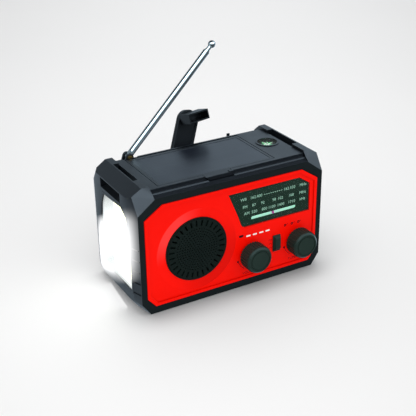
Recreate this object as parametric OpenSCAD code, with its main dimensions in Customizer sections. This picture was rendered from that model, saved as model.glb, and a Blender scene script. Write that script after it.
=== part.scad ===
// Emergency radio with a solar lid, a hand crank, a telescopic antenna and an end flashlight.
// X runs along the front from left to right, Y from the front to the rear, Z up. Z = 0 is the table.

/* [Case] */
// Width of the case between its end faces, without the bumpers
case_w = 156; // [140:1:180]
// Depth of the case from front to rear
case_d = 78; // [74:1:90]
// Height of the front frame's top edge
frame_top = 91.8; // [91:0.1:96]
// Height of the top deck
deck_top = 96.4; // [96:0.1:100]
// Height of the tops of the corner bumpers
bumper_top = 98.2; // [97:0.1:102]
// Thickness of the case walls
wall = 2.2; // [1.8:0.1:2.6]
// How far the base pad stands out below the case
pad_out = 0.4; // [0.2:0.1:1]

/* [Front] */
// Radius of the speaker grille
grille_r = 25.2; // [20:0.1:27]
// Radius of the volume and tuning knobs
knob_r = 11.1; // [8:0.1:12.5]
// How far the knobs stand out from the front
knob_out = 12.2; // [8:0.1:18]
// Number of ribs round a knob
knob_ribs = 30; // [16:2:40]

/* [Flashlight] */
// Depth of the flashlight's reflector tray
tray_depth = 6; // [5:0.5:10]

/* [Antenna] */
// Length of the outer tube from the pivot
tube_length = 99.5; // [80:0.5:100]
// Radius of the outer tube
tube_r = 2.6; // [2.2:0.05:2.7]
// Tilt of the antenna from upright at rest, in degrees
antenna_tilt = 44.3; // [0:0.1:80]

/* [Crank] */
// Distance from the crank's axis to the grip's pin
crank_r = 54; // [48:0.5:54]
// Angle of the arm from upright at rest, in degrees
crank_angle = 26.3; // [0:0.1:45]
// Lean of the arm out from the back at rest, in degrees
crank_lean = 18.6; // [18:0.1:40]
// Width of the arm
arm_w = 18.2; // [16:0.1:20]
// Width of the grip
grip_w = 19.3; // [14:0.1:19.5]
// Height of the grip
grip_h = 7.8; // [6:0.1:9]
// Depth of the grip, away from the arm
grip_d = 13; // [9:0.5:13]

/* [Gears] */
// Teeth of the crank gear
crank_teeth = 44; // [40:1:46]
// Teeth of the compound gear's pinion and of the generator pinion
pinion_teeth = 14; // [14:1:16]
// Teeth of the compound gear's wheel
wheel_teeth = 40; // [34:1:42]

/* [Hidden] */
$fn = 48;

black = [0.07, 0.08, 0.09];
dark = [0.16, 0.18, 0.2];
red = [0.85, 0.04, 0.03];
pale = [0.9, 0.93, 0.88];
steel = [0.75, 0.76, 0.78];
glass = [0.7, 0.8, 0.85, 0.35];
board = [0.08, 0.3, 0.16];
brass = [0.8, 0.62, 0.25];
copper = [0.75, 0.4, 0.2];
magenta = [0.9, 0.2, 0.55];
solar = [0.08, 0.1, 0.2];

hw = case_w / 2;
fy = -case_d / 2;
ry = case_d / 2;
back_y = ry - 5;
split_y = 0;
case_z = pad_out;
floor_z = case_z + wall + 0.4;
roof_z = frame_top - wall;

// Outlines in the XZ plane, built from a half width, two heights and the corner chamfers.
function outline(w, z0, z1, cx, cz, bx, bz) = [
  [-w + bx, z0], [w - bx, z0], [w, z0 + bz], [w, z1 - cz],
  [w - cx, z1], [-w + cx, z1], [-w, z1 - cz], [-w, z0 + bz]];
case_pts = outline(hw, case_z, frame_top, 13.94, 10.6, 6.8, 9.7);
inner_pts = outline(hw - wall, floor_z, roof_z, 13.1, 9.9, 6, 9.1);
panel_pts = outline(73.4, 6.4, 86.4, 14.4, 9.6, 6.2, 7.3);
seat_pts = outline(73.6, 6.2, 86.6, 14.4, 9.6, 6.2, 7.3);
ledge_pts = outline(70.4, 9.4, 83.4, 13.2, 8.8, 5, 6);
face_pts = outline(70.9, 8.9, 83.9, 13.4, 9, 5.2, 6.3);

// Dial window, in the XZ plane.
window_pts = [
  [8.8, 50.6], [67.3, 50.5], [67, 73.4], [57.2, 80], [-5, 80.1],
  [3.2, 60.6], [5.2, 54.6], [6.6, 51.8]];
window_c = [31, 65.3];
function about(pts, c, d, a, b) =
  [for (p = pts) [c[0] + (p[0] - c[0]) * (1 + d / a), c[1] + (p[1] - c[1]) * (1 + d / b)]];

// Flashlight outline, in the YZ plane.
lens_pts = [
  [-28.4, 17.5], [22.5, 17.5], [24.2, 42], [19.5, 69], [15, 79], [-16.5, 80.8],
  [-24, 76], [-27.8, 67], [-29, 56], [-29, 33]];
function lens_out(d) = about(lens_pts, [-2, 49], d, 27, 32);

lamps = [[-15, 12, 62.5, 74], [-20, 14, 19.5, 30]];
spk = [-31.8, 43.3];
vol = [15.2, 26];
tun = [57.1, 27];
band = [37.2, 30];
lights = [12, 17.7, 23.5, 29.1];
light_z = 42.6;
track = [16.4, 54.1, 56];
pointer_x = 35;
panel_y = fy + 0.3;
board_y = fy + 7.2;

lid_x = [-57, 40.4];
hinge = [24.3, 94.7];
compass = [53.5, 0.8];
mast = [-52, 31.3, 96];
hub = [-10.6, 36.5, 63];
bosses = [[-60, 9.5], [60, 9.5], [-55, 84], [61, 84]];
pocket_angles = [90, 90 + crank_angle / 2, 90 + crank_angle];
door = [-20, 50, 8.2, 24.4];
cell = [15, 20.6, 13.4];
grip_twist = 3.5;
keys = [-10, 8];
key_z = 60;
ports = [-8, 18, 22, 38];

// Gear sizes. Each wheel meshes with the pinion before it.
m1 = 0.9;
m2 = 0.8;
r_crank = m1 * crank_teeth / 2;
r_pin1 = m1 * pinion_teeth / 2;
r_wheel = m2 * wheel_teeth / 2;
r_pin2 = m2 * pinion_teeth / 2;
dir1 = 217;
dir2 = 232;
ax1 = [hub[0] + (r_crank + r_pin1) * cos(dir1), hub[2] + (r_crank + r_pin1) * sin(dir1)];
ax2 = [ax1[0] + (r_wheel + r_pin2) * cos(dir2), ax1[1] + (r_wheel + r_pin2) * sin(dir2)];
gear_y = 25.4;
wheel_y = 20.6;

// Dial drive. The tuning gear turns an idler, and the idler moves the pointer's rack.
m3 = 1;
t_teeth = 24;
i_teeth = 28;
idler_dx = 22.2;
idler_dz = sqrt(pow(m3 * (t_teeth + i_teeth) / 2, 2) - pow(idler_dx, 2));
idler = [tun[0] - idler_dx, tun[1] + idler_dz];
mesh_a = atan2(idler_dz, -idler_dx);
idler_a = mesh_a + 180 + 180 / i_teeth;
rack_z = idler[1] + m3 * i_teeth / 2;
off_top = (90 - idler_a) / (360 / i_teeth);
slip = (off_top - floor(off_top)) * 360 / i_teeth;
gap_x = idler[0] + m3 * i_teeth / 2 * slip * PI / 180;
dial_y = fy + 11;

// Basic solids.
module slab(pts, y0, y1)
  translate([0, y1, 0]) rotate([90, 0, 0]) linear_extrude(y1 - y0) polygon(pts);
module plate(pts, x0, x1)
  translate([x0, 0, 0]) rotate([90, 0, 90]) linear_extrude(x1 - x0) polygon(pts);
module block(x0, x1, y0, y1, z0, z1)
  translate([x0, y0, z0]) cube([x1 - x0, y1 - y0, z1 - z0]);
module rod_y(p, r, y0, y1)
  translate([p[0], y1, p[1]]) rotate([90, 0, 0]) cylinder(r = r, h = y1 - y0);
module rod_x(y, z, r, x0, x1)
  translate([x0, y, z]) rotate([0, 90, 0]) cylinder(r = r, h = x1 - x0);

// Spur gear in the XZ plane, with slim stub teeth. A tooth points along angle a.
function flank(r, rb) = r <= rb ? 0 : sqrt(r * r / (rb * rb) - 1) * 180 / PI
  - acos(rb / r);
function half(m, n, r) = 90 / n - 0.09 * m * 180 / PI / (m * n / 2) * 1.15
  + flank(m * n / 2, m * n / 2 * cos(20)) - flank(r, m * n / 2 * cos(20));
function tooth(m, n, k) = let (rp = m * n / 2, ro = rp + 0.8 * m, rr = rp - 1.08 * m) [
  for (s = [[-1, rr], [-1, rp - 0.5 * m], [-1, rp], [-1, rp + 0.4 * m], [-1, ro],
            [1, ro], [1, rp + 0.4 * m], [1, rp], [1, rp - 0.5 * m], [1, rr]])
    let (a = 360 * k / n + s[0] * half(m, n, s[1])) s[1] * [cos(a), sin(a)]];
module spur(m, n, a, p, y0, y1)
  translate([p[0], y1, p[1]]) rotate([90, 0, 0]) rotate([0, 0, a]) linear_extrude(y1 - y0)
    polygon([for (k = [0 : n - 1]) each tooth(m, n, k)]);

// Places a child drawn with its arm along Z and its outer side toward +Y onto the crank's hub.
module on_hub() translate(hub) rotate([0, crank_angle, 0]) children();
module on_arm() on_hub() rotate([-crank_lean, 0, 0]) children();
// Places a child drawn along Z onto the antenna's pivot.
module on_mast() translate(mast) rotate([0, antenna_tilt, 0]) children();

module flash_cut(x0, x1) plate(lens_out(1.6), x0, x1);

module front_shell() color(black) difference() {
  union() {
    difference() {
      slab(case_pts, fy, split_y);
      slab(inner_pts, fy + 4.6, split_y + 1);
    }
    for (b = bosses) rod_y(b, 3.4, fy + 4, split_y);
  }
  slab(seat_pts, fy - 1, fy + 2.4);
  slab(ledge_pts, fy - 1, fy + 6);
  for (b = bosses) rod_y(b, 1.45, split_y - 14, split_y + 1);
  flash_cut(-hw - 1, -hw + 4);
  block(hw - wall - 0.1, hw + 1, ports[0] - 0.5, split_y + 1, ports[2] - 0.5, ports[3] + 0.5);
  rod_x(keys[0], key_z, 4, hw - wall - 1, hw + 1);
  base_ring(0.05, -1);
}

module base_ring(g, z0) difference() {
  block(-62 - g, 62 + g, -30 - g, 30 + g, z0, case_z + 1.1);
  block(-55 + g, 55 - g, -23 + g, 23 - g, z0 - 1, case_z + 2);
}

module arm_spot(a, r, y0, y1)
  rod_y([hub[0] + crank_r * sin(a), hub[2] + crank_r * cos(a)], r, y0, y1);

module rear_shell() color(black) difference() {
  union() {
    difference() {
      slab(case_pts, split_y, ry);
      slab(inner_pts, split_y - 1, back_y - wall);
      slab(outline(70, 5.4, 104, 3, 10, 5, 5), back_y, ry + 1);
    }
    for (b = bosses) rod_y(b, 4, split_y, back_y - wall + 0.1);
    for (a = pocket_angles) arm_spot(a, 12.7, back_y - 15.8, back_y - 0.5);
    rod_y([hub[0], hub[2]], 12, back_y - 4.4, back_y - 0.5);
  }
  for (a = pocket_angles) arm_spot(a, 11.2, back_y - 14.3, back_y + 1);
  rod_y([hub[0], hub[2]], 10.6, back_y - 1.6, back_y + 1);
  rod_y([hub[0], hub[2]], 4.05, back_y - 6, back_y);
  for (b = bosses) rod_y(b, 1.6, split_y - 1, back_y);
  for (b = bosses) rod_y(b, 3.1, back_y - 3.4, back_y + 1);
  block(door[0], door[1], back_y - wall - 1, back_y + 1, door[2], door[3]);
  for (s = [door[0], door[1]]) rod_x(back_y - 1.1, door[2] + 1.1, 0.76, s - 1.5, s + 1.5);
  flash_cut(-hw - 1, -hw + 4);
  block(hw - wall - 0.1, hw + 1, split_y - 1, ports[1] + 0.5, ports[2] - 0.5, ports[3] + 0.5);
  rod_x(keys[1], key_z, 4, hw - wall - 1, hw + 1);
  base_ring(0.05, -1);
}

module base_pad() color(dark) base_ring(0, 0);

module front_panel() color(red) difference() {
  slab(panel_pts, fy - 0.5, fy + 2.3);
  slab(face_pts, fy - 1, panel_y);
  translate([spk[0], panel_y + 1.2, spk[1]]) rotate([90, 0, 0])
    cylinder(r1 = 25.5, r2 = 33.3, h = 1.25);
  rod_y(spk, grille_r + 0.2, fy - 1, fy + 3);
  slab(about(window_pts, window_c, 0.15, 30, 15), fy - 1, fy + 3);
  for (k = [vol, tun]) rod_y(k, 3.6, fy - 1, fy + 3);
  for (x = lights) block(x - 1.8, x + 1.8, fy - 1, fy + 3, light_z - 0.6, light_z + 0.6);
  block(band[0] - 1.7, band[0] + 1.7, fy - 1, fy + 3, band[1] - 6, band[1] + 6);
}

module speaker_grille() color(black) difference() {
  union() {
    rod_y(spk, grille_r, panel_y + 0.5, fy + 2.3);
    rod_y(spk, grille_r - 1.2, panel_y + 0.1, panel_y + 0.6);
  }
  for (i = [0 : 29]) translate([spk[0], 0, spk[1]]) rotate([0, 12 * i, 0])
    block(-0.65, 0.65, fy - 1, fy + 3, 18.6, 23.2);
  for (k = [0 : 8], i = [0 : max(0, 6 * k - 1)])
    rod_y(spk + 2.05 * k * [cos(60 / max(1, k) * i), sin(60 / max(1, k) * i)], 0.52,
      fy - 1, fy + 3);
}

module speaker_frame() color(steel) difference() {
  union() {
    rod_y(spk, 27.2, fy + 4.8, fy + 6);
    translate([spk[0], fy + 18, spk[1]]) rotate([90, 0, 0])
      cylinder(r1 = 15, r2 = 25, h = 12.5);
    rod_y(spk, 16, fy + 17.9, fy + 28);
    rod_y(spk, 17.5, fy + 27.9, fy + 30);
  }
  translate([spk[0], fy + 17, spk[1]]) rotate([90, 0, 0]) cylinder(r1 = 14, r2 = 24.4, h = 12.5);
}

module speaker_cone() color(dark) {
  difference() {
    translate([spk[0], fy + 14.4, spk[1]]) rotate([90, 0, 0]) cylinder(r1 = 6, r2 = 22, h = 8);
    translate([spk[0], fy + 14, spk[1]]) rotate([90, 0, 0]) cylinder(r1 = 5.6, r2 = 22.2, h = 8);
  }
  translate([spk[0], fy + 13.8, spk[1]]) intersection() {
    translate([0, 4.5, 0]) sphere(r = 9);
    translate([0, -2, 0]) rotate([90, 0, 0]) cylinder(r = 7.4, h = 3);
  }
}

module dial_lens() color(glass)
  slab(about(window_pts, window_c, -0.05, 30, 15), panel_y - 0.1, panel_y + 0.9);

module dial_plate() color(black) difference() {
  slab(about(window_pts, window_c, -0.05, 30, 15), panel_y + 1, fy + 2.3);
  hull() for (x = [track[0], track[1]]) rod_y([x, track[2] + 0.1], 1.4, fy, fy + 3);
}

module pointer_track() color(pale) {
  block(track[0] - 2.8, track[1] + 2.8, fy + 3.3, fy + 4.3, track[2] - 2.7, track[2] + 1.8);
  for (s = [track[0] - 2.8, track[1] + 1.8])
    block(s, s + 1, fy + 2.3, fy + 3.3, track[2] - 1.8, track[2] + 1.8);
}

module dial_chassis() color(dark) difference() {
  union() {
    block(4, 67, board_y + 1.7, board_y + 2.7, 42, 64);
    block(24, 48, board_y + 1.7, board_y + 2.7, 33, 43);
    block(4, 67, board_y + 2.7, dial_y + 2.6, rack_z + 5.8, rack_z + 7);
    rod_y(idler, 2, board_y + 2.6, dial_y + 3.4);
  }
  block(10, 58, board_y, board_y + 3, rack_z + 3.6, rack_z + 5.75);
  rod_y(tun, m3 * t_teeth / 2 + 2, board_y + 1, board_y + 3);
  rod_y(vol, 8.5, board_y + 1, board_y + 3);
}

module tuning_gear() color(pale) difference() {
  spur(m3, t_teeth, mesh_a, tun, dial_y, dial_y + 2.5);
  rod_y(tun, 3, dial_y - 1, dial_y + 4);
}

module idler_gear() color(pale) difference() {
  spur(m3, i_teeth, idler_a, idler, dial_y, dial_y + 2.5);
  rod_y(idler, 2.06, dial_y - 1, dial_y + 4);
}

module pointer() {
  color(magenta) block(pointer_x - 0.6, pointer_x + 0.6, fy + 1.4, fy + 3, 55.1, 56.9);
  color(magenta) block(pointer_x - 0.6, pointer_x + 0.6, fy + 2.5, fy + 3, 55.1, 60.1);
  color(magenta)
    block(pointer_x - 0.6, pointer_x + 0.6, fy + 2.5, dial_y + 2.5, rack_z + 4, rack_z + 5.6);
  color(magenta) difference() {
    block(gap_x - 24.6, gap_x + 18.9, dial_y, dial_y + 2.5, rack_z - 0.8, rack_z + 5.6);
    for (i = [-6 : 8]) slab([
      [gap_x - PI * m3 * i - 0.55, rack_z + 1.1],
      [gap_x - PI * m3 * i + 0.55, rack_z + 1.1],
      [gap_x - PI * m3 * i + 1.3, rack_z - 1],
      [gap_x - PI * m3 * i - 1.3, rack_z - 1]], dial_y - 1, dial_y + 3);
  }
}

module indicator_lights() color(pale)
  for (x = lights) block(x - 1.75, x + 1.75, panel_y - 0.2, board_y, light_z - 0.55, light_z + 0.55);

module control_board() color(board) difference() {
  union() {
    block(-3, 71.5, board_y, board_y + 1.6, 13.5, 49.6);
    block(band[0] - 4, band[0] + 4, fy + 3.4, board_y + 0.1, band[1] - 9, band[1] + 9);
  }
  block(band[0] - 1.5, band[0] + 1.5, fy + 3, fy + 5, band[1] - 6, band[1] + 6);
  for (k = [vol, tun]) rod_y(k, 4, board_y - 1, board_y + 3);
  rod_y(spk, 28, board_y - 1, board_y + 3);
}

module knob(p) {
  difference() {
    union() {
      rod_y(p, knob_r - 0.5, fy - knob_out + 1.2, fy - 0.9);
      translate([p[0], fy - knob_out + 1.25, p[1]]) rotate([90, 0, 0])
        cylinder(r1 = knob_r - 0.5, r2 = knob_r - 1.7, h = 1.25);
      for (i = [0 : knob_ribs - 1]) translate([p[0], 0, p[1]])
        rotate([0, 360 / knob_ribs * i, 0])
          block(-0.5, 0.5, fy - knob_out + 2.2, fy - 0.9, knob_r - 1.2, knob_r);
    }
    difference() {
      rod_y(p, knob_r - 2.8, fy - knob_out - 1, fy - knob_out + 0.5);
      rod_y(p, knob_r - 3.8, fy - knob_out - 2, fy - knob_out + 1);
    }
    difference() {
      rod_y(p, knob_r - 2, fy - knob_out + 4, fy);
      rod_y(p, 5, fy - knob_out + 3, fy + 1);
    }
  }
  rod_y(p, 3, fy - 1, dial_y + 7.3);
}

module volume_knob() color(dark) knob(vol);

module tuning_knob() color(dark) knob(tun);

module volume_pot() color(steel) difference() {
  rod_y(vol, 7.6, board_y + 1.6, board_y + 12);
  rod_y(vol, 3.06, board_y, board_y + 11.4);
}

module tuning_capacitor() color(pale) difference() {
  block(tun[0] - 10, tun[0] + 10, dial_y + 3.2, dial_y + 14, tun[1] - 10, tun[1] + 10);
  rod_y(tun, 3.06, dial_y, dial_y + 9);
}

module band_knob() color(black) {
  block(band[0] - 3.3, band[0] + 3.3, fy - 0.9, fy + 0.1, band[1] - 6.8, band[1] + 6.8);
  hull() {
    block(band[0] - 2.9, band[0] + 2.9, fy - 1.2, fy - 0.8, band[1] - 5.4, band[1] + 6.2);
    block(band[0] - 2, band[0] + 2.4, fy - 2.8, fy - 2.7, band[1] - 4.2, band[1] + 5.2);
  }
  block(band[0] - 1.4, band[0] + 1.4, fy, fy + 4.6, band[1] - 2.5, band[1] + 2.5);
}

module main_board() color(board) {
  block(4, 66, 2, 3.6, 27, 76);
  for (c = [[14, 36, 12, 12], [34, 40, 9, 7], [48, 60, 14, 10], [22, 62, 10, 6]])
    block(c[0], c[0] + c[2], 3.6, 5.4, c[1], c[1] + c[3]);
  for (c = [[54, 44], [61, 44], [12, 55]]) translate([c[0], 3.6, c[1]]) rotate([-90, 0, 0])
    cylinder(r = 3.2, h = 9);
}

module ferrite_rod() color(dark) rod_x(12, 82, 4, -4, 54);

module ferrite_coil() color(copper) difference() {
  rod_x(12, 82, 5, 2, 24);
  rod_x(12, 82, 4.02, 1, 25);
}

module cap_hull() hull() for (sy = [-1, 1]) {
  translate([64.06, sy * 38.99, frame_top - 0.01]) cube(0.01, center = true);
  translate([65.2, sy * 31.1, bumper_top]) cube(0.01, center = true);
  translate([70.7, sy * 31.1, bumper_top]) cube(0.01, center = true);
  translate([78.3, sy * 30.6, 93.3]) cube(0.01, center = true);
  translate([80.8, sy * 26.6, 91.6]) cube(0.01, center = true);
  translate([78, sy * 38.99, 81.2]) cube(0.01, center = true);
  translate([80.6, sy * 30.6, 82]) cube(0.01, center = true);
  translate([78, sy * 38.99, 10.1]) cube(0.01, center = true);
  translate([80.6, sy * 30.6, 11.6]) cube(0.01, center = true);
  translate([75.6, sy * 26, 2.2]) cube(0.01, center = true);
  translate([80.8, sy * 24, 9]) cube(0.01, center = true);
  translate([71.2, sy * 38.99, case_z + 0.01]) cube(0.01, center = true);
}

module bumper(top_z, high, low) difference() {
  cap_hull();
  slab(case_pts, fy - 1, ry + 1);
  block(50, 64.6, fy - 1, ry + 1, 80, 110);
  block(64, 65.2, -31, ry + 1, 80, 110);
  slab([[64, 100], [69.8, 100], [69.8, top_z], [83, high], [83, low], [73.6, low], [64, 91.4]],
    -16, 18.5);
  for (s = [-1, 1], z = [17.5 : 9 : 54]) scale([1, s, 1]) translate([0, 0, z])
    linear_extrude(1.3) polygon([[82, -30.9], [80, -30.9], [77.5, -38.3], [82, -38.8]]);
}

module left_end_cap() color(dark) difference() {
  mirror([1, 0, 0]) bumper(95.2, 89.8, 83.2);
  flash_cut(-hw - 5, -hw + 3);
}

module right_end_cap() color(dark) difference() {
  bumper(91.6, 84.2, 79.6);
  block(hw - 1, hw + 5, ports[0] - 0.5, ports[1] + 0.5, ports[2] - 0.5, ports[3] + 0.5);
  for (y = keys) rod_x(y, key_z, 4, hw - 1, hw + 5);
}

module flash_bezel() color(dark) difference() {
  plate(lens_out(1.5), -hw - 2.9, -hw + 1.4);
  plate(lens_out(-0.4), -hw - 4, -hw + 2);
  plate(lens_out(0.8), -hw - 2.3, -hw + 2);
}

module flash_lens() color(glass) plate(lens_out(0.7), -hw - 2.25, -hw - 1.25);

module flash_reflector() color(pale) difference() {
  union() {
    plate(lens_out(0.7), -hw - 1.15, -hw + 0.5);
    plate(lens_out(-0.6), -hw, -hw + tray_depth);
  }
  plate(lens_out(-1.6), -hw - 2, -hw + tray_depth - 1.2);
}

module flash_lamps() color([1, 1, 0.9]) for (b = lamps) {
  block(-hw + tray_depth - 2.4, -hw + tray_depth - 1.3, b[0], b[1], b[2], b[3]);
  for (y = [b[0] + 4 : 5.4 : b[1] - 3], z = [b[2] + 2.8, b[3] - 2.8])
    rod_x(y, z, 2, -hw + tray_depth - 4, -hw + tray_depth - 2.3);
}

module top_deck() color(black) difference() {
  union() {
    plate([[fy, frame_top], [back_y, frame_top], [back_y, 93], [28, 93], [28, deck_top],
      [-32.5, deck_top], [-32.7, 93.9], [-34.5, 93.9], [-35, 93], [fy, 91.9]], -64.5, 64.5);
    block(36.2, 39.8, 33.5, 35.2, 91.8, 93);
    block(36.8, 39.3, 34.2, 35.2, 92.9, 95.6);
  }
  for (s = [-1, 1]) slab([[s * 64.06, 91], [s * 66, 91], [s * 66, 97]], fy - 1, ry);
  block(lid_x[0] - 0.4, lid_x[1] + 0.4, -29.5, 26.4, 92.8, 97);
  slab([[-22, 97], [-18.6, 92.9], [2.2, 92.9], [2.2, 97]], fy - 1, -29);
  for (s = [lid_x[0], lid_x[1]]) rod_x(hinge[0], hinge[1], 1.06, s - 2.6, s + 2.6);
  translate([compass[0], compass[1], 92]) cylinder(r = 8.9, h = 6);
  block(mast[0] - 6.2, mast[0] + 6.2, mast[1] - 4.6, ry, 91, 97);
}

module solar_lid() color(black) {
  difference() {
    union() {
      block(lid_x[0], lid_x[1], -29.1, hinge[0], 93, deck_top);
      rod_x(hinge[0], hinge[1], 1.7, lid_x[0], lid_x[1]);
      slab([[-21.3, 96.4], [-18.2, 93.3], [1.8, 93.3], [1.8, 96.4]], -34.3, -29);
      block(-1.6, 1.8, -34.3, -31.6, 96.3, 97);
    }
    block(lid_x[0] + 2.5, lid_x[1] - 2.5, -26.6, 21.5, 95.2, 97);
    block(-30, 14, -20, 8, 92, 94.2);
  }
  for (s = [lid_x[0] - 2.2, lid_x[1] - 0.5]) rod_x(hinge[0], hinge[1], 1, s, s + 2.7);
}

module solar_cell() color(solar)
  block(lid_x[0] + 2.6, lid_x[1] - 2.6, -26.5, 21.4, 95.2, 96.2);

module reading_lamp() color(pale) block(-29.8, 13.8, -19.8, 7.8, 93, 94.2);

module compass_housing() color(black) translate([compass[0], compass[1], 92.1]) difference() {
  union() {
    cylinder(r = 8.8, h = 4.5);
    translate([0, 0, 4.3]) cylinder(r = 9.2, h = 0.5);
  }
  difference() {
    translate([0, 0, 1]) cylinder(r = 7.8, h = 6);
    cylinder(r = 0.5, h = 3);
  }
}

module compass_card() color(pale) translate([compass[0], compass[1], 94]) difference() {
  cylinder(r = 7.3, h = 0.6);
  translate([0, 0, -1]) cylinder(r = 0.56, h = 3);
}

module compass_dome() color(glass) translate([compass[0], compass[1], 95.6]) {
  cylinder(r = 7.7, h = 1);
  translate([0, 0, 1]) intersection() {
    translate([0, 0, -17.2]) sphere(r = 18.8);
    cylinder(r = 7.7, h = 3);
  }
}

module antenna_base() color(dark) difference() {
  union() {
    block(mast[0] - 6, mast[0] + 6, mast[1] - 3.6, mast[1] + 3.6, frame_top, 93.2);
    for (s = [-3.6, 1.9]) hull() {
      rod_y([mast[0], mast[2]], 3.2, mast[1] + s, mast[1] + s + 1.7);
      block(mast[0] - 4.5, mast[0] + 4.5, mast[1] + s, mast[1] + s + 1.7, 92, 92.2);
    }
  }
  rod_y([mast[0], mast[2]], 1.25, mast[1] - 5, mast[1] + 5);
}

module antenna_pin() color(brass) {
  rod_y([mast[0], mast[2]], 1.25, mast[1] - 4, mast[1] + 4);
  for (s = [-4.3, 3.6]) rod_y([mast[0], mast[2]], 2.2, mast[1] + s, mast[1] + s + 0.7);
}

module antenna_tube() color(steel) on_mast() difference() {
  union() {
    rod_y([0, 0], 2.4, -1.7, 1.7);
    block(-2, 2, -1.7, 1.7, 0, 6);
    translate([0, 0, 5]) cylinder(r = tube_r, h = tube_length - 5);
  }
  rod_y([0, 0], 1.3, -3, 3);
  translate([0, 0, 7]) cylinder(r = tube_r - 0.45, h = tube_length);
}

module antenna_middle() color(steel) on_mast() translate([0, 0, 8]) difference() {
  cylinder(r = tube_r - 0.5, h = tube_length - 7);
  translate([0, 0, 1]) cylinder(r = tube_r - 0.95, h = tube_length);
}

module antenna_rod() color(steel) on_mast() {
  translate([0, 0, 10]) cylinder(r = tube_r - 1, h = tube_length - 4.5);
  translate([0, 0, tube_length + 6.6]) sphere(r = 2.9);
}

module crank_gear() color(pale) {
  spur(m1, crank_teeth, dir1, [hub[0], hub[2]], gear_y, gear_y + 3);
  rod_y([hub[0], hub[2]], 6, gear_y + 3, back_y - 4.5);
  rod_y([hub[0], hub[2]], 4, gear_y, back_y - 1.5);
}

module compound_gear() color(pale) {
  spur(m1, pinion_teeth, dir1 + 180 + 180 / pinion_teeth, ax1, gear_y - 1, gear_y + 3);
  spur(m2, wheel_teeth, dir2, ax1, wheel_y, wheel_y + 3);
  rod_y(ax1, 3, wheel_y + 2.9, gear_y);
  rod_y(ax1, 1.5, wheel_y - 2, gear_y + 4.6);
}

module generator_pinion() color(brass) {
  spur(m2, pinion_teeth, dir2 + 180 + 180 / pinion_teeth, ax2, wheel_y - 0.4, wheel_y + 3.2);
  rod_y(ax2, 1.2, wheel_y - 4, wheel_y + 4);
}

module generator() color(steel) difference() {
  rod_y(ax2, 12, -5.4, wheel_y - 2.2);
  rod_y(ax2, 1.26, wheel_y - 4.4, wheel_y);
}

module gear_plate() color(dark) difference() {
  union() {
    block(-54, -7, wheel_y - 2, wheel_y - 0.6, 33, 78);
    for (p = [[-50, 74], [-11, 37]]) rod_y(p, 2.5, wheel_y - 0.7, back_y - wall);
  }
  rod_y(ax1, 1.56, wheel_y - 3, wheel_y);
  rod_y(ax2, 13, wheel_y - 3, wheel_y);
}

module crank_hub() color(dark) on_hub() difference() {
  union() {
    translate([0, -2.5, 0]) rotate([90, 0, 0]) cylinder(r = 10.4, h = 1.5);
    for (s = [-9.2, 5.2]) hull() {
      translate([s, -2.6, -4]) cube([4, 0.1, 8]);
      rod_x(0, 0, 2.4, s, s + 4);
    }
  }
  rod_x(0, 0, 1.25, -12, 12);
}

module fold_pin() color(steel) on_hub() rod_x(0, 0, 1.25, -9.6, 9.6);

module crank_arm() color(dark) on_arm() difference() {
  union() {
    translate([-5, -2.25, 0]) cube([10, 4.5, 12]);
    rod_x(0, 0, 2.25, -5, 5);
    translate([-arm_w / 2, -2.25, 11.4]) cube([arm_w, 4.5, crank_r - 14.9]);
    rod_y([0, crank_r - 3.5], arm_w / 2, -2.25, 2.25);
  }
  rod_x(0, 0, 1.3, -12, 12);
  for (s = [-3, 1.3]) {
    translate([1.8 - arm_w / 2, s, 14]) cube([arm_w - 3.6, 1.7, crank_r - 17.5]);
    rod_y([0, crank_r - 3.5], arm_w / 2 - 1.8, s, s + 1.7);
  }
  rod_y([0, crank_r], 1.5, -4, 4);
}

module at_grip() on_arm() translate([0, 0, crank_r])
  rotate([0, -crank_angle - grip_twist, 0]) children();

module grip_pin() color(brass) at_grip() {
  rod_y([0, 0], 1.45, -6, 1.2);
  rod_y([0, 0], 3, 1.31, 2.1);
  rod_y([0, 0], 2.6, -6.9, -5.9);
}

module crank_grip() color(dark) at_grip() difference() {
  translate([-grip_w / 2, -2.6 - grip_d, -grip_h / 2]) cube([grip_w, grip_d, grip_h]);
  translate([1.2 - grip_w / 2, -3.6 - grip_d, 1.2 - grip_h / 2])
    cube([grip_w - 2.4, grip_d - 2.2, grip_h - 2.4]);
  rod_y([0, 0], 1.52, -7, 0);
}

module key(y) {
  rod_x(y, key_z, 3.8, hw - 0.9, hw + 3.4);
  rod_x(y, key_z, 1.4, hw - 4.6, hw - 0.8);
}

module flashlight_button() color(dark) key(keys[0]);

module alarm_button() color(red) key(keys[1]);

module side_board() color(steel) difference() {
  union() {
    block(hw - 9, hw - 0.6, ports[0] + 1, ports[1] - 1, ports[2] + 1, ports[3] - 1);
    block(hw - 10.4, hw - 8.9, keys[0] - 3.8, ports[1], ports[2], key_z + 5);
    for (y = keys)
      block(hw - 9, hw - 5.9, y - 3.5, y + 3.5, key_z - 3.5, key_z + 3.5);
  }
  block(hw - 7, hw, ports[0] + 3.6, ports[0] + 11.2, 28.6, 31.4);
  rod_x(13, 30, 1.8, hw - 8, hw);
}

module port_cover() color(dark) difference() {
  union() {
    block(hw + 0.8, hw + 2.8, ports[0] - 0.2, ports[1] - 1, ports[2] - 0.2, ports[3] + 0.2);
    translate([hw + 1.8, ports[1] - 1, ports[2] - 0.2]) cylinder(r = 1, h = 16.4);
  }
  block(hw + 0.3, hw + 1.6, ports[0] + 2, ports[1] - 4, ports[2] + 2, ports[3] - 2);
}

module battery_door() color(black) {
  block(door[0] + 0.3, door[1] - 0.3, back_y - wall, back_y, door[2] + 1.1, door[3] - 0.3);
  rod_x(back_y - 1.1, door[2] + 1.1, 1.1, door[0] + 0.3, door[1] - 0.3);
  rod_x(back_y - 1.1, door[2] + 1.1, 0.7, door[0] - 1.3, door[1] + 1.3);
}

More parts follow.
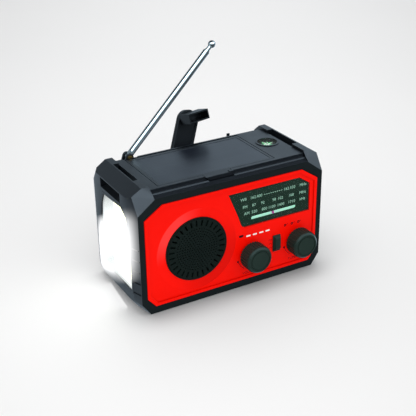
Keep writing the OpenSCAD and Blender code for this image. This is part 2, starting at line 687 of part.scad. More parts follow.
module battery_cell() color([0.15, 0.35, 0.6]) {
  rod_x(cell[1], cell[2], 9.1, cell[0] - 32.5, cell[0] + 32.5);
  rod_x(cell[1], cell[2], 3.5, cell[0] + 32.4, cell[0] + 33.6);
}

module case_screws() color(steel) for (b = bosses) {
  rod_y(b, 1.4, split_y - 12, back_y - 3);
  rod_y(b, 2.8, back_y - 3.3, back_y - 1.4);
}

front_shell();
rear_shell();
base_pad();
front_panel();
left_end_cap();
right_end_cap();
top_deck();
speaker_grille();
speaker_frame();
speaker_cone();
dial_lens();
dial_plate();
pointer_track();
dial_chassis();
pointer();
tuning_gear();
idler_gear();
indicator_lights();
control_board();
volume_knob();
tuning_knob();
volume_pot();
tuning_capacitor();
band_knob();
main_board();
ferrite_rod();
ferrite_coil();
flash_bezel();
flash_lens();
flash_reflector();
flash_lamps();
solar_lid();
solar_cell();
reading_lamp();
compass_housing();
compass_card();
compass_dome();
antenna_base();
antenna_pin();
antenna_tube();
antenna_middle();
antenna_rod();
crank_gear();
compound_gear();
generator_pinion();
generator();
gear_plate();
crank_hub();
fold_pin();
crank_arm();
grip_pin();
crank_grip();
flashlight_button();
alarm_button();
side_board();
port_cover();
battery_door();
battery_cell();
case_screws();
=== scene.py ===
"""Looks for the emergency radio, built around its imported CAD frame."""
import math

import bpy
from mathutils import Matrix, Vector


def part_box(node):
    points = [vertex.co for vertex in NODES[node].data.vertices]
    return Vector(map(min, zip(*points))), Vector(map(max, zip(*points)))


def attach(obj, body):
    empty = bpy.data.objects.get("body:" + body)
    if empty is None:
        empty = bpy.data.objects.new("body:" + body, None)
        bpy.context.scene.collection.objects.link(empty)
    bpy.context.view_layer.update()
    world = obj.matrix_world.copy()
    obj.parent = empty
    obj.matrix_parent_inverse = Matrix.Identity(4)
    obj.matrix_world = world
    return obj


MM = 0.001
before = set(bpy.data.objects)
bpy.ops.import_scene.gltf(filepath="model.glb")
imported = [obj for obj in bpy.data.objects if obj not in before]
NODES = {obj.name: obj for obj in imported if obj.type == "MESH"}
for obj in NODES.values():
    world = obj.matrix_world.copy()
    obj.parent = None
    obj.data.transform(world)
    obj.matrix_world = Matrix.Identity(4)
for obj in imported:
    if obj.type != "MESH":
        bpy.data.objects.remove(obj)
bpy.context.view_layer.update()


# ---------------------------------------------------------------- materials
def lin(r, g, b):
    """sRGB 0-255 to linear."""
    def one(c):
        c /= 255
        return c / 12.92 if c <= 0.04045 else ((c + 0.055) / 1.055) ** 2.4
    return one(r), one(g), one(b), 1.0


def new_mat(name):
    m = bpy.data.materials.new(name)
    m.use_nodes = True
    nt = m.node_tree
    nt.nodes.clear()
    out = nt.nodes.new("ShaderNodeOutputMaterial")
    b = nt.nodes.new("ShaderNodeBsdfPrincipled")
    nt.links.new(b.outputs[0], out.inputs[0])
    return m, nt, b


def coords(nt, scale):
    tc = nt.nodes.new("ShaderNodeTexCoord")
    mp = nt.nodes.new("ShaderNodeMapping")
    mp.inputs["Scale"].default_value = scale
    nt.links.new(tc.outputs["Object"], mp.inputs["Vector"])
    return mp.outputs["Vector"]


def surface(name, base, rough=0.5, metal=0.0, var=0.06, vscale=60, grain=900, bump=0.15,
            rvar=0.08, spec=0.5, coat=0.0, coat_rough=0.1, stretch=(1, 1, 1), emit=0.0):
    """A solid finish with a slow tone change, a fine grain and a roughness that varies."""
    m, nt, b = new_mat(name)
    v = coords(nt, stretch)
    slow = nt.nodes.new("ShaderNodeTexNoise")
    slow.inputs["Scale"].default_value = vscale
    slow.inputs["Detail"].default_value = 4
    nt.links.new(v, slow.inputs["Vector"])
    ramp = nt.nodes.new("ShaderNodeValToRGB")
    ramp.color_ramp.elements[0].position = 0.3
    ramp.color_ramp.elements[1].position = 0.7
    ramp.color_ramp.elements[0].color = tuple(c * (1 - var) for c in base[:3]) + (1,)
    ramp.color_ramp.elements[1].color = tuple(min(1, c * (1 + var)) for c in base[:3]) + (1,)
    nt.links.new(slow.outputs["Fac"], ramp.inputs["Fac"])
    nt.links.new(ramp.outputs["Color"], b.inputs["Base Color"])
    rr = nt.nodes.new("ShaderNodeMapRange")
    rr.inputs["To Min"].default_value = max(0.02, rough - rvar)
    rr.inputs["To Max"].default_value = min(1, rough + rvar)
    nt.links.new(slow.outputs["Fac"], rr.inputs["Value"])
    nt.links.new(rr.outputs["Result"], b.inputs["Roughness"])
    if bump:
        fine = nt.nodes.new("ShaderNodeTexNoise")
        fine.inputs["Scale"].default_value = grain
        fine.inputs["Detail"].default_value = 2
        nt.links.new(v, fine.inputs["Vector"])
        bp = nt.nodes.new("ShaderNodeBump")
        bp.inputs["Strength"].default_value = bump
        bp.inputs["Distance"].default_value = 0.0002
        nt.links.new(fine.outputs["Fac"], bp.inputs["Height"])
        nt.links.new(bp.outputs["Normal"], b.inputs["Normal"])
    b.inputs["Metallic"].default_value = metal
    b.inputs["Specular IOR Level"].default_value = spec
    b.inputs["Coat Weight"].default_value = coat
    b.inputs["Coat Roughness"].default_value = coat_rough
    if emit:
        b.inputs["Emission Color"].default_value = base
        b.inputs["Emission Strength"].default_value = emit
    return m


def clear_mat(name, tint, rough=0.03, see=0.9):
    """Thin clear plastic: mostly transparent, with a glossy face."""
    m, nt, b = new_mat(name)
    b.inputs["Base Color"].default_value = tint
    b.inputs["Roughness"].default_value = rough
    tr = nt.nodes.new("ShaderNodeBsdfTransparent")
    tr.inputs["Color"].default_value = tint
    mix = nt.nodes.new("ShaderNodeMixShader")
    nz = nt.nodes.new("ShaderNodeTexNoise")
    nz.inputs["Scale"].default_value = 40
    mr = nt.nodes.new("ShaderNodeMapRange")
    mr.inputs["To Min"].default_value = 1 - see - 0.01
    mr.inputs["To Max"].default_value = 1 - see + 0.01
    nt.links.new(coords(nt, (1, 1, 1)), nz.inputs["Vector"])
    nt.links.new(nz.outputs["Fac"], mr.inputs["Value"])
    nt.links.new(mr.outputs["Result"], mix.inputs["Fac"])
    out = next(n for n in nt.nodes if n.type == "OUTPUT_MATERIAL")
    nt.links.new(tr.outputs[0], mix.inputs[1])
    nt.links.new(b.outputs[0], mix.inputs[2])
    nt.links.new(mix.outputs[0], out.inputs[0])
    return m


def painted_reflection_by_facing(m, stops):
    """Painted reflection: tone set by how squarely the surface faces the camera, as on a round bright tube.
    """
    nt = m.node_tree
    b = next(n for n in nt.nodes if n.type == "BSDF_PRINCIPLED")
    lw = nt.nodes.new("ShaderNodeLayerWeight")
    lw.inputs["Blend"].default_value = 0.5
    ramp = nt.nodes.new("ShaderNodeValToRGB")
    e = ramp.color_ramp.elements
    while len(e) < len(stops):
        e.new(0.5)
    for k, (at, tone) in enumerate(stops):
        e[k].position = at
        e[k].color = (tone[0], tone[1], tone[2], 1)
    nt.links.new(lw.outputs["Facing"], ramp.inputs["Fac"])
    nt.links.new(ramp.outputs["Color"], b.inputs["Base Color"])
    return m


def painted_light_by_height(m, stops, strength):
    """Painted glow that changes with height above the table; the same ramp darkens the base colour towards
    the top as painted shade.
    """
    nt = m.node_tree
    b = next(n for n in nt.nodes if n.type == "BSDF_PRINCIPLED")
    tc = nt.nodes.new("ShaderNodeTexCoord")
    sep = nt.nodes.new("ShaderNodeSeparateXYZ")
    mr = nt.nodes.new("ShaderNodeMapRange")
    mr.inputs["From Min"].default_value = stops[0][0] * MM
    mr.inputs["From Max"].default_value = stops[-1][0] * MM
    ramp = nt.nodes.new("ShaderNodeValToRGB")
    e = ramp.color_ramp.elements
    while len(e) < len(stops):
        e.new(0.5)
    span = stops[-1][0] - stops[0][0]
    for k, (z, v) in enumerate(stops):
        e[k].position = (z - stops[0][0]) / span
        e[k].color = (v, v, v, 1)
    mul = nt.nodes.new("ShaderNodeMath")
    mul.operation = "MULTIPLY"
    mul.inputs[1].default_value = strength
    nt.links.new(tc.outputs["Object"], sep.inputs[0])
    nt.links.new(sep.outputs["Z"], mr.inputs["Value"])
    nt.links.new(mr.outputs["Result"], ramp.inputs["Fac"])
    nt.links.new(ramp.outputs["Color"], mul.inputs[0])
    nt.links.new(mul.outputs[0], b.inputs["Emission Strength"])
    # painted shade: the height ramp also darkens the base colour
    shade = nt.nodes.new("ShaderNodeVectorMath")
    shade.operation = "MULTIPLY"
    nt.links.new(b.inputs["Base Color"].links[0].from_socket, shade.inputs[0])
    nt.links.new(ramp.outputs["Color"], shade.inputs[1])
    nt.links.new(shade.outputs[0], b.inputs["Base Color"])
    return m


def lit_near_lens(m, strength):
    """Light from the flashlight washing over the cap round the lens."""
    nt = m.node_tree
    b = next(n for n in nt.nodes if n.type == "BSDF_PRINCIPLED")
    tc = nt.nodes.new("ShaderNodeTexCoord")
    sep = nt.nodes.new("ShaderNodeSeparateXYZ")
    nt.links.new(tc.outputs["Object"], sep.inputs[0])

    def op(kind, a, b2=None, clamp=False):
        n = nt.nodes.new("ShaderNodeMath")
        n.operation = kind
        n.use_clamp = clamp
        for k, v in enumerate((a, b2)):
            if v is None:
                continue
            if isinstance(v, (int, float)):
                n.inputs[k].default_value = v
            else:
                nt.links.new(v, n.inputs[k])
        return n.outputs[0]

    dy = op("MAXIMUM", op("SUBTRACT", op("ABSOLUTE", op("SUBTRACT", sep.outputs["Y"], -0.003)), 0.0255), 0.0)
    dz = op("MAXIMUM", op("SUBTRACT", op("ABSOLUTE", op("SUBTRACT", sep.outputs["Z"], 0.046)), 0.029), 0.0)
    d = op("SQRT", op("ADD", op("MULTIPLY", dy, dy), op("MULTIPLY", dz, dz)))
    near = op("POWER", op("SUBTRACT", 1.0, op("DIVIDE", d, 0.0145), clamp=True), 1.6)
    middle = op("SUBTRACT", 0.0398, op("MULTIPLY", sep.outputs["Y"], 0.54))
    h = op("DIVIDE", op("SUBTRACT", sep.outputs["Z"], middle), 0.031)
    mid = op("SUBTRACT", 1.0, op("MULTIPLY", h, h), clamp=True)
    far = op("ADD", 1.0, op("MULTIPLY", op("MAXIMUM", sep.outputs["Y"], 0.0), 60.0))
    glow = op("MULTIPLY", op("MULTIPLY", op("MULTIPLY", near, mid), strength), far)
    nt.links.new(glow, b.inputs["Emission Strength"])
    b.inputs["Emission Color"].default_value = (1, 1, 1, 1)
    return m


def panel_red(m):
    """Faces sloping down to the right catch light, the others less, and little red spills off."""
    nt = m.node_tree
    b = next(n for n in nt.nodes if n.type == "BSDF_PRINCIPLED")
    geo = nt.nodes.new("ShaderNodeNewGeometry")
    dot = nt.nodes.new("ShaderNodeVectorMath")
    dot.operation = "DOT_PRODUCT"
    dot.inputs[1].default_value = (0.72, 0.0, -0.69)
    nt.links.new(geo.outputs["Normal"], dot.inputs[0])

    def slope(lo, hi, a, b2):
        n = nt.nodes.new("ShaderNodeMapRange")
        n.inputs["From Min"].default_value = lo
        n.inputs["From Max"].default_value = hi
        n.inputs["To Min"].default_value = a
        n.inputs["To Max"].default_value = b2
        nt.links.new(dot.outputs["Value"], n.inputs["Value"])
        return n.outputs["Result"]

    lp = nt.nodes.new("ShaderNodeLightPath")
    seen = nt.nodes.new("ShaderNodeMath")
    seen.operation = "MAXIMUM"
    nt.links.new(lp.outputs["Is Camera Ray"], seen.inputs[0])
    nt.links.new(lp.outputs["Is Glossy Ray"], seen.inputs[1])
    glow = nt.nodes.new("ShaderNodeMath")
    glow.operation = "MULTIPLY"
    nt.links.new(slope(0.09, 0.15, 0.12, 0.27), glow.inputs[0])
    nt.links.new(seen.outputs[0], glow.inputs[1])
    nt.links.new(glow.outputs[0], b.inputs["Emission Strength"])
    tint = slope(0.09, 0.15, 0.0, 0.14)
    col = nt.nodes.new("ShaderNodeCombineXYZ")
    col.inputs["X"].default_value = 1.0
    nt.links.new(tint, col.inputs["Y"])
    nt.links.new(tint, col.inputs["Z"])
    nt.links.new(col.outputs[0], b.inputs["Emission Color"])
    shade = nt.nodes.new("ShaderNodeVectorMath")
    shade.operation = "SCALE"
    nt.links.new(b.inputs["Base Color"].links[0].from_socket, shade.inputs[0])
    nt.links.new(slope(-0.15, -0.03, 0.74, 1.0), shade.inputs["Scale"])
    mute = nt.nodes.new("ShaderNodeMix")
    mute.data_type = "RGBA"
    mute.inputs["A"].default_value = (0.1, 0.01, 0.01, 1)
    nt.links.new(seen.outputs[0], mute.inputs["Factor"])
    nt.links.new(shade.outputs[0], mute.inputs["B"])
    nt.links.new(mute.outputs["Result"], b.inputs["Base Color"])
    return m


def solar_face(name, base, line):
    """Dark cell face with thin collector lines, under a smooth clear film."""
    m = surface(name, base, 0.32, bump=0.0, var=0.12, vscale=28, spec=0.5)
    nt = m.node_tree
    b = next(n for n in nt.nodes if n.type == "BSDF_PRINCIPLED")
    ground = b.inputs["Base Color"].links[0].from_socket
    tc = nt.nodes.new("ShaderNodeTexCoord")
    sep = nt.nodes.new("ShaderNodeSeparateXYZ")
    nt.links.new(tc.outputs["Object"], sep.inputs[0])
    out = None
    for axis, pitch, width in (("X", 0.0023, 0.055), ("Y", 0.0119, 0.035)):
        d = nt.nodes.new("ShaderNodeMath")
        d.operation = "DIVIDE"
        d.inputs[1].default_value = pitch
        fr = nt.nodes.new("ShaderNodeMath")
        fr.operation = "FRACT"
        lt = nt.nodes.new("ShaderNodeMath")
        lt.operation = "LESS_THAN"
        lt.inputs[1].default_value = width
        nt.links.new(sep.outputs[axis], d.inputs[0])
        nt.links.new(d.outputs[0], fr.inputs[0])
        nt.links.new(fr.outputs[0], lt.inputs[0])
        if out is None:
            out = lt.outputs[0]
        else:
            mx = nt.nodes.new("ShaderNodeMath")
            mx.operation = "MAXIMUM"
            nt.links.new(out, mx.inputs[0])
            nt.links.new(lt.outputs[0], mx.inputs[1])
            out = mx.outputs[0]
    mix = nt.nodes.new("ShaderNodeMix")
    mix.data_type = "RGBA"
    mix.inputs["B"].default_value = line
    nt.links.new(out, mix.inputs["Factor"])
    nt.links.new(ground, mix.inputs["A"])
    nt.links.new(mix.outputs["Result"], b.inputs["Base Color"])
    return m


M = {
    "frame": surface("frame_black", lin(27, 34, 36), 0.42, bump=0.12, spec=0.1),
    "deck": surface("deck_black", lin(20, 25, 31), 0.36, bump=0.12, spec=0.5),
    "back": surface("back_black", lin(20, 22, 25), 0.55, bump=0.25, spec=0.25),
    "bumper": surface("bumper_rubber", lin(15, 19, 24), 0.36, bump=0.12, grain=1400, spec=0.6),
    "bumper_lit": lit_near_lens(
        surface("bumper_by_lens", lin(15, 19, 24), 0.36, bump=0.12, grain=1400, spec=0.6), 1.15),
    "red": panel_red(surface("panel_red", (1.0, 0.0045, 0.0, 1), 0.36, bump=0.04, var=0.015,
                             spec=0.08)),
    "gloss": surface("gloss_black", lin(36, 51, 45), 0.2, bump=0.0, var=0.05, spec=0.05),
    "grille": surface("grille_black", lin(20, 31, 28), 0.45, bump=0.1, spec=0.15),
    "knob": surface("knob_black", lin(38, 54, 49), 0.34, bump=0.08, spec=0.16),
    "crank": surface("crank_black", lin(6, 9, 14), 0.34, bump=0.08, spec=0.4),
    "dark": surface("dark_plastic", lin(26, 28, 30), 0.5, bump=0.1, spec=0.3),
    "steel": surface("steel", lin(170, 172, 176), 0.35, 1.0, bump=0.05),
    # the chrome's bright and dark bands are a painted reflection in its base colour
    "chrome": painted_reflection_by_facing(
        surface("chrome", lin(235, 238, 242), 0.16, 1.0, var=0.03, bump=0.0),
        [(0.0, (0.93, 0.97, 0.94)), (0.3, (0.85, 0.9, 0.87)), (0.42, (0.4, 0.43, 0.42)),
         (0.58, (0.2, 0.21, 0.22)), (0.8, (0.05, 0.05, 0.07)), (1.0, (0.12, 0.12, 0.14))]),
    "brass": surface("brass", lin(205, 165, 90), 0.25, 1.0, bump=0.03),
    "copper": surface("copper_wire", lin(190, 110, 60), 0.35, 1.0, bump=0.2,
                      stretch=(8, 1, 1)),
    "board": surface("board_green", lin(24, 82, 46), 0.4, bump=0.1),
    "pale": surface("pale_plastic", lin(226, 236, 224), 0.35, bump=0.05),
    # the track's emission is a painted glow that keeps it bright in its shaded recess
    "mint": surface("track_mint", lin(190, 238, 220), 0.3, bump=0.0, emit=0.55),
    "light": surface("light_white", lin(255, 250, 244), 0.3, bump=0.0, emit=0.12),
    # the pointer's emission is a painted glow
    "pink": surface("pointer_pink", lin(190, 60, 160), 0.3, bump=0.0, emit=0.25),
    "cone": surface("cone_fibre", lin(18, 18, 18), 0.8, bump=0.4, grain=500, spec=0.2),
    "ferrite": surface("ferrite_grey", lin(50, 50, 52), 0.7, bump=0.2),
    "solar": solar_face("solar_cells", lin(22, 28, 38), lin(34, 42, 54)),
    "cell": surface("cell_wrap", lin(40, 90, 150), 0.35, bump=0.05),
    # the reflector's glow and its darker top are painted light and painted shade, by height
    "bowl": painted_light_by_height(surface("reflector_white", lin(120, 122, 122), 0.4, bump=0.0, var=0.02,
                              emit=1.0),
                      [(16, 0.8), (26, 1.0), (60, 1.0), (68, 0.75), (76, 0.5), (82, 0.2)], 4.5),
    "lamp": surface("lamp_glow", lin(255, 253, 222), 0.4, bump=0.0, var=0.01, emit=1.15),
    "led": surface("lamp_chip", lin(255, 236, 150), 0.4, bump=0.0, var=0.03),
    "clear": clear_mat("clear_plastic", (0.99, 1.0, 1.0, 1), see=0.99),
    "window": clear_mat("window_plastic", (0.93, 1.0, 0.97, 1), see=0.996),
    "dome": clear_mat("dome_plastic", (0.97, 1.0, 0.98, 1), see=0.985),
    "card": surface("card_dark", lin(24, 38, 34), 0.4, bump=0.0, spec=0.2),
    # printed colours, each with a painted glow from emission on top
    "leaf": surface("print_green", lin(28, 178, 96), 0.5, bump=0.0, emit=0.3),
    "print": surface("print_pale", lin(190, 222, 208), 0.5, bump=0.0, emit=0.12),
    "white": surface("print_white", lin(236, 244, 240), 0.5, bump=0.0, emit=0.2),
    "ink": surface("print_dark", lin(54, 10, 22), 0.6, bump=0.0, spec=0.1),
}

LOOK = {
    "front_shell": "frame", "rear_shell": "back", "base_pad": "cone", "front_panel": "red",
    "left_end_cap": "bumper_lit", "right_end_cap": "bumper", "top_deck": "deck",
    "speaker_grille": "grille", "speaker_frame": "cone", "speaker_cone": "cone",
    "dial_lens": "window", "dial_plate": "gloss", "pointer_track": "mint",
    "dial_chassis": "dark", "pointer": "pink", "tuning_gear": "pale", "idler_gear": "pale",
    "indicator_lights": "light", "control_board": "board", "volume_knob": "knob",
    "tuning_knob": "knob", "volume_pot": "steel", "tuning_capacitor": "pale",
    "band_knob": "knob", "main_board": "board", "ferrite_rod": "ferrite",
    "ferrite_coil": "copper", "flash_bezel": "bumper_lit", "flash_lens": "clear",
    "flash_reflector": "bowl", "flash_lamps": "lamp", "solar_lid": "deck",
    "solar_cell": "solar", "reading_lamp": "pale", "compass_housing": "deck",
    "compass_card": "card", "compass_dome": "dome", "antenna_base": "deck",
    "antenna_pin": "brass", "antenna_tube": "chrome", "antenna_middle": "chrome",
    "antenna_rod": "chrome", "crank_gear": "pale", "compound_gear": "pale",
    "generator_pinion": "brass", "generator": "steel", "gear_plate": "dark",
    "crank_hub": "crank", "fold_pin": "steel", "crank_arm": "crank", "grip_pin": "crank",
    "crank_grip": "crank", "flashlight_button": "dark", "alarm_button": "red",
    "side_board": "board", "port_cover": "bumper", "battery_door": "back",
    "battery_cell": "cell", "case_screws": "steel",
}

BEVEL = {
    "front_shell": 0.5, "rear_shell": 0.4, "top_deck": 0.35, "left_end_cap": 0.5,
    "right_end_cap": 0.5, "solar_lid": 0.3, "crank_arm": 0.5,
    "crank_grip": 0.3, "battery_door": 0.25, "band_knob": 0.3, "volume_knob": 0.3,
    "tuning_knob": 0.3, "flash_bezel": 0.3, "port_cover": 0.3,
}


def smooth(o, angle=32):
    me = o.data
    if "custom_normal" in me.attributes:
        me.attributes.remove(me.attributes["custom_normal"])
    me.shade_smooth()
    me.set_sharp_from_angle(angle=math.radians(angle))


for name, o in NODES.items():
    o.data.materials.clear()
    o.data.materials.append(M[LOOK[name]])
    if name in BEVEL:
        w = o.modifiers.new("weld", "WELD")
        w.merge_threshold = 1e-6
        d = o.modifiers.new("flat", "DECIMATE")
        d.decimate_type = "DISSOLVE"
        d.angle_limit = math.radians(0.5)
        b = o.modifiers.new("edge", "BEVEL")
        b.width = BEVEL[name] * MM
        b.segments = 2
        b.limit_method = "ANGLE"
        b.angle_limit = math.radians(28)
        b.harden_normals = True
        b.use_clamp_overlap = True
    smooth(o)


# ---------------------------------------------------------------- small builders
def piece(name, verts, faces, material, body):
    me = bpy.data.meshes.new(name)
    me.from_pydata([Vector(v) * MM for v in verts], [], faces)
    me.validate()
    o = bpy.data.objects.new(name, me)
    bpy.context.scene.collection.objects.link(o)
    o.data.materials.append(M[material] if isinstance(material, str) else material)
    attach(o, body)
    return o


def boxes(name, items, material, body):
    """One piece made of axis-aligned boxes, each (x0, x1, y0, y1, z0, z1) in mm."""
    vs, fs = [], []
    for x0, x1, y0, y1, z0, z1 in items:
        k = len(vs)
        vs += [(x, y, z) for x in (x0, x1) for y in (y0, y1) for z in (z0, z1)]
        fs += [tuple(k + i for i in f) for f in
               ((0, 1, 3, 2), (4, 6, 7, 5), (0, 4, 5, 1), (2, 3, 7, 6), (0, 2, 6, 4), (1, 5, 7, 3))]
    return piece(name, vs, fs, material, body)


def words(name, text, x, z, y, size, material, body, align="CENTER"):
    """Raised print on a face that looks towards -Y."""
    cu = bpy.data.curves.new(name, "FONT")
    cu.body = text
    cu.size = size * MM
    cu.extrude = 0.00002
    cu.align_x = align
    cu.align_y = "CENTER"
    cu.resolution_u = 2
    cu.offset = -0.00002
    o = bpy.data.objects.new(name, cu)
    bpy.context.scene.collection.objects.link(o)
    o.matrix_world = Matrix.Translation(Vector((x, y, z)) * MM) @ Matrix.Rotation(math.pi / 2, 4, "X")
    cu.materials.append(M[material])
    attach(o, body)
    return o


# ---------------------------------------------------------------- dial print
PLATE_Y = -37.75
rows = [
    (73.0, [("WB", 8.2), ("162.400", 19.3), ("162.550", 49.0), ("MHz", 61.5)]),
    (66.6, [("FM", 9.6), ("87", 17.3), ("92", 25.1), ("98", 35.3), ("102", 40.9), ("108", 50.7),
            ("MHz", 61.3)]),
    (61.1, [("AM", 11.1), ("520", 17.8), ("800", 26.7), ("1100", 33.3), ("1400", 41.4),
            ("1710", 51.3), ("kHz", 61.3)]),
]
for r, (z, cols) in enumerate(rows):
    for i, (t, x) in enumerate(cols):
        words(f"dial_text_{r}_{i}", t, x, z, PLATE_Y, 3.3, "print", "case")
boxes("dial_dashes", [(26.2 + 1.9 * i, 27.3 + 1.9 * i, PLATE_Y - 0.02, PLATE_Y + 0.03, 72.8, 73.2)
                      for i in range(9)], "print", "case")


# ---------------------------------------------------------------- print on the red panel
FACE_Y = -38.72


def arc(name, c, r, a0, a1, w, material, body, y=FACE_Y, steps=24):
    """A thin printed arc on the front, from angle a0 to a1, measured from +X towards +Z."""
    vs, fs = [], []
    for k in range(steps + 1):
        a = math.radians(a0 + (a1 - a0) * k / steps)
        for rr in (r - w / 2, r + w / 2):
            vs.append((c[0] + rr * math.cos(a), y, c[1] + rr * math.sin(a)))
        if k:
            n = 2 * k
            fs.append((n - 2, n, n + 1, n - 1))
    return piece(name, vs, fs, material, body)


for label, text, c in (("volume", "VOLUME", (15.2, 26.0)), ("tuning", "TUNING", (57.1, 27.0))):
    words(f"{label}_word", text, c[0] - 8.5, c[1] - 14.8, FACE_Y, 3.3, "ink", "case", align="LEFT")
    arc(f"{label}_arc", c, 12.5, 200, 238, 0.4, "ink", "case")
    arc(f"{label}_dot", (c[0] - 12.3, c[1] - 3.4), 0.45, 0, 360, 0.9, "ink", "case")
for i, t in enumerate(("WB", "FM", "AM")):
    words(f"band_mark_{i}", t, 31.8, 33.5 - 3.45 * i, FACE_Y, 2.1, "ink", "case")
boxes("battery_mark", [(3.9, 7.2, FACE_Y - 0.01, FACE_Y, 42.8, 44.7),
                       (7.2, 7.7, FACE_Y - 0.01, FACE_Y, 43.3, 44.2)], "ink", "case")
for i, x in enumerate((45.2, 51.5, 57.6)):
    arc(f"state_mark_{i}", (x, 42.8), 0.8, 0, 360, 0.7, "ink", "case")
    boxes(f"state_bar_{i}", [(x + 1.5, x + 2.7, FACE_Y - 0.01, FACE_Y, 43.1, 43.6)], "ink", "case")


# ---------------------------------------------------------------- compass card
def star(name, c, z, tips, material, body):
    """Flat pointed leaves round a centre: each tip is (angle, length, half width at the root)."""
    vs, fs = [], []
    for a, length, w in tips:
        a = math.radians(a)
        u, v = (math.cos(a), math.sin(a)), (-math.sin(a), math.cos(a))
        k = len(vs)
        vs += [(c[0], c[1], z), (c[0] + u[0] * w * 1.3 + v[0] * w, c[1] + u[1] * w * 1.3 + v[1] * w, z),
               (c[0] + u[0] * length, c[1] + u[1] * length, z)]
        fs.append((k, k + 1, k + 2) if w < 0 else (k, k + 2, k + 1))
    return piece(name, vs, fs, material, body)


COMPASS = (53.5, 0.8)
turn = 12
star("compass_leaves", COMPASS, 94.66,
     [(turn + 90 * k, 6.6, 1.7) for k in range(4)] + [(turn + 45 + 90 * k, 5.2, 1.2) for k in range(4)],
     "leaf", "compass_disc")
star("compass_rays", COMPASS, 94.67,
     [(turn + 90 * k, 6.6, -1.7) for k in range(4)] + [(turn + 45 + 90 * k, 5.2, -1.2) for k in range(4)],
     "white", "compass_disc")
star("compass_ticks", COMPASS, 94.65,
     [(turn + 15 * k, 7.0, 0.01) for k in range(24)], "white", "compass_disc")


# ---------------------------------------------------------------- small details off the front
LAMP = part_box("reading_lamp")
lx0, ly0, lz0 = (v / MM for v in LAMP[0])
lx1, ly1, lz1 = (v / MM for v in LAMP[1])
boxes("reading_chips", [(lx0 + 4.4 + 5.6 * i, lx0 + 7.2 + 5.6 * i, ly0 + 4 + 7.2 * j, ly0 + 6.4 + 7.2 * j,
                         lz0 - 0.12, lz0 + 0.1) for i in range(7) for j in range(3)], "led", "lid")
# dark boxes on the screws: painted shade standing for their cross recesses
boxes("screw_slot_shade", [b for x, z in ((-60, 9.5), (60, 9.5), (-55, 84), (61, 84)) for b in
                      ((x - 1.8, x + 1.8, 32.5, 32.62, z - 0.35, z + 0.35),
                       (x - 0.35, x + 0.35, 32.5, 32.62, z - 1.8, z + 1.8))], "cone", "case")
boxes("door_ribs", [(6 + 3 * i, 7.4 + 3 * i, 33.9, 34.25, 19.4, 22.6) for i in range(7)], "back",
      "battery_flap")


# ---------------------------------------------------------------- stage, light and camera
def plane(name, size, z, material):
    me = bpy.data.meshes.new(name)
    s = size / 2
    me.from_pydata([(-s, -s, z), (s, -s, z), (s, s, z), (-s, s, z)], [], [(0, 1, 2, 3)])
    o = bpy.data.objects.new(name, me)
    bpy.context.scene.collection.objects.link(o)
    me.materials.append(material)
    return o


def floor_material():
    """Plain pale floor with painted shade: a little darker towards the edges of the view, and a painted
    contact shadow just in front of the radio.
    """
    m = surface("floor_white", (0.91, 0.91, 0.91, 1), 0.7, var=0.004, vscale=3, bump=0.0, spec=0.1)
    nt = m.node_tree
    b = next(n for n in nt.nodes if n.type == "BSDF_PRINCIPLED")
    ground = b.inputs["Base Color"].links[0].from_socket
    tc = nt.nodes.new("ShaderNodeTexCoord")
    sep = nt.nodes.new("ShaderNodeSeparateXYZ")
    nt.links.new(tc.outputs["Window"], sep.inputs[0])

    def op(kind, a, b2):
        n = nt.nodes.new("ShaderNodeMath")
        n.operation = kind
        for k, v in enumerate((a, b2)):
            if isinstance(v, (int, float)):
                n.inputs[k].default_value = v
            else:
                nt.links.new(v, n.inputs[k])
        return n.outputs[0]

    # painted shade: darker towards the sides of the view, most at the top corners
    u = op("SUBTRACT", op("MULTIPLY", sep.outputs["X"], 2.0), 1.0)
    u2 = op("MULTIPLY", u, u)
    t = op("MAXIMUM", op("DIVIDE", op("SUBTRACT", sep.outputs["Y"], 0.45), 0.55), 0.0)
    t2 = op("MULTIPLY", t, t)
    fade = op("SUBTRACT", 1.0, op("ADD", op("MULTIPLY", u2, 0.05), op("MULTIPLY", t2, 0.0)))
    fade = op("SUBTRACT", fade, op("MULTIPLY", op("MULTIPLY", u2, t2), 0.06))
    pos = nt.nodes.new("ShaderNodeSeparateXYZ")
    nt.links.new(tc.outputs["Object"], pos.inputs[0])
    # painted contact shadow on the floor just in front of the radio, fading out sideways and forwards
    ahead = op("MAXIMUM", op("SUBTRACT", -0.036, pos.outputs["Y"]), 0.0)
    aside = op("MAXIMUM", op("SUBTRACT", op("ABSOLUTE", pos.outputs["X"], 0.0), 0.066), 0.0)
    away = op("POWER", op("ADD", op("MULTIPLY", ahead, ahead), op("MULTIPLY", aside, aside)), 0.5)
    near = op("MAXIMUM", op("SUBTRACT", 1.0, op("DIVIDE", away, 0.034)), 0.0)
    side = op("MINIMUM", op("MAXIMUM", op("DIVIDE", op("SUBTRACT", -0.02, pos.outputs["Y"]), 0.02),
                            0.0), 1.0)
    dark = op("MULTIPLY", op("MULTIPLY", near, near), op("MULTIPLY", side, 0.5))
    fade = op("MULTIPLY", fade, op("SUBTRACT", 1.0, dark))
    scale = nt.nodes.new("ShaderNodeVectorMath")
    scale.operation = "SCALE"
    nt.links.new(ground, scale.inputs[0])
    nt.links.new(fade, scale.inputs["Scale"])
    nt.links.new(scale.outputs[0], b.inputs["Base Color"])
    return m


floor = plane("floor", 12, 0, floor_material())
floor.visible_glossy = False


def area(name, pos, target, size, power, color=(1, 1, 1), shape="RECTANGLE", size_y=None):
    li = bpy.data.lights.new(name, "AREA")
    li.shape = shape
    li.size = size
    if size_y:
        li.size_y = size_y
    li.energy = power
    li.color = color
    o = bpy.data.objects.new(name, li)
    bpy.context.scene.collection.objects.link(o)
    o.location = pos
    o.rotation_mode = "QUATERNION"
    o.rotation_quaternion = (Vector(target) - Vector(pos)).to_track_quat("-Z", "Y")
    return o


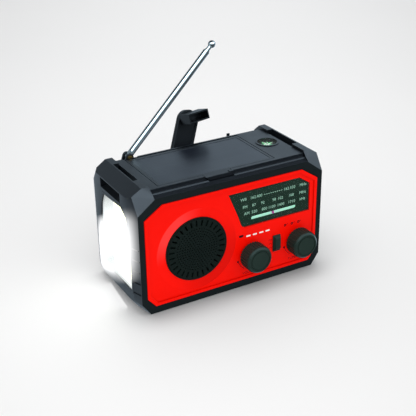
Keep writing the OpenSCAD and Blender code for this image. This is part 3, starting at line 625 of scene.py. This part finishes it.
for light in (
    area("key", (-0.45, -0.75, 0.75), (0, 0, 0.05), 0.5, 1.0),
    area("fill", (0.8, -0.6, 0.5), (0, 0, 0.05), 0.8, 0.4),
    area("top", (0.0, 0.1, 1.15), (0, 0, 0.0), 0.9, 1.6),
    area("beam", (-0.09, 0.0, 0.046), (-0.3, 0.02, 0.0), 0.04, 0.02),
):
    light.visible_glossy = False
    light.visible_camera = False


def studio():
    """Even white light, with a slate-blue band of softboxes that only reflections see."""
    world = bpy.data.worlds.new("studio")
    bpy.context.scene.world = world
    world.use_nodes = True
    nt = world.node_tree
    bg = nt.nodes["Background"]
    tc = nt.nodes.new("ShaderNodeTexCoord")
    sep = nt.nodes.new("ShaderNodeSeparateXYZ")
    nt.links.new(tc.outputs["Generated"], sep.inputs[0])

    def ramp(out, lo, hi, a, b):
        n = nt.nodes.new("ShaderNodeMapRange")
        n.inputs["From Min"].default_value = lo
        n.inputs["From Max"].default_value = hi
        n.inputs["To Min"].default_value = a
        n.inputs["To Max"].default_value = b
        nt.links.new(out, n.inputs["Value"])
        return n.outputs["Result"]

    def total(a, b):
        n = nt.nodes.new("ShaderNodeMath")
        nt.links.new(a, n.inputs[0])
        nt.links.new(b, n.inputs[1])
        return n.outputs[0]

    def band(stops, gain):
        """Brightness by height of the direction, from straight down (-1) to straight up (1)."""
        n = nt.nodes.new("ShaderNodeValToRGB")
        e = n.color_ramp.elements
        while len(e) < len(stops):
            e.new(0.5)
        for k, (at, v) in enumerate(stops):
            e[k].position = (at + 1) / 2
            e[k].color = (v * 0.76, v * 0.95, v * 1.12, 1)
        nt.links.new(ramp(sep.outputs["Z"], -1.0, 1.0, 0.0, 1.0), n.inputs["Fac"])
        m = nt.nodes.new("ShaderNodeVectorMath")
        m.operation = "SCALE"
        nt.links.new(n.outputs["Color"], m.inputs[0])
        if isinstance(gain, float):
            m.inputs["Scale"].default_value = gain
        else:
            nt.links.new(gain, m.inputs["Scale"])
        return m.outputs[0]

    back = band([(-1, 0.9), (-0.15, 0.9), (0.0, 0.3), (0.14, 0.45), (0.26, 0.85), (0.38, 1.0),
                 (0.46, 0.95), (0.53, 0.1), (1.0, 0.1)],
                total(ramp(sep.outputs["X"], 0.34, 0.52, 0.6, 1.25),
                      ramp(sep.outputs["X"], 0.7, 0.92, 0.0, 1.3)))
    front = band([(-1, 0.02), (0.0, 0.02), (0.3, 0.15), (0.55, 0.9), (0.65, 1.0), (0.84, 1.0),
                  (0.9, 0.2), (1.0, 0.1)], 3.3)
    pick = nt.nodes.new("ShaderNodeMix")
    pick.data_type = "RGBA"
    nt.links.new(ramp(sep.outputs["Y"], -0.22, -0.1, 0.0, 1.0), pick.inputs["Factor"])
    nt.links.new(front, pick.inputs["A"])
    nt.links.new(back, pick.inputs["B"])
    lp = nt.nodes.new("ShaderNodeLightPath")
    mix = nt.nodes.new("ShaderNodeMix")
    mix.data_type = "RGBA"
    mix.inputs["A"].default_value = (0.9, 0.9, 0.9, 1)
    nt.links.new(lp.outputs["Is Glossy Ray"], mix.inputs["Factor"])
    nt.links.new(pick.outputs["Result"], mix.inputs["B"])
    nt.links.new(mix.outputs["Result"], bg.inputs["Color"])
    bg.inputs["Strength"].default_value = 1.0


studio()

cam_data = bpy.data.cameras.new("camera")
cam = bpy.data.objects.new("camera", cam_data)
bpy.context.scene.collection.objects.link(cam)
bpy.context.scene.camera = cam
right = Vector((0.87014, -0.49258, -0.01428))
up = Vector((0.22649, 0.37402, 0.89933))
fwd = Vector((0.43766, 0.78579, -0.43703))
rot = Matrix((right, up, -fwd)).transposed().to_4x4()
cam.matrix_world = Matrix.Translation(Vector((-292.25, -523.24, 343.99)) * MM) @ rot
cam_data.lens = 74.25
cam_data.sensor_width = 36
cam_data.clip_start = 0.01
cam_data.clip_end = 50

sc = bpy.context.scene
sc.view_settings.view_transform = "Standard"
sc.view_settings.exposure = 0.0
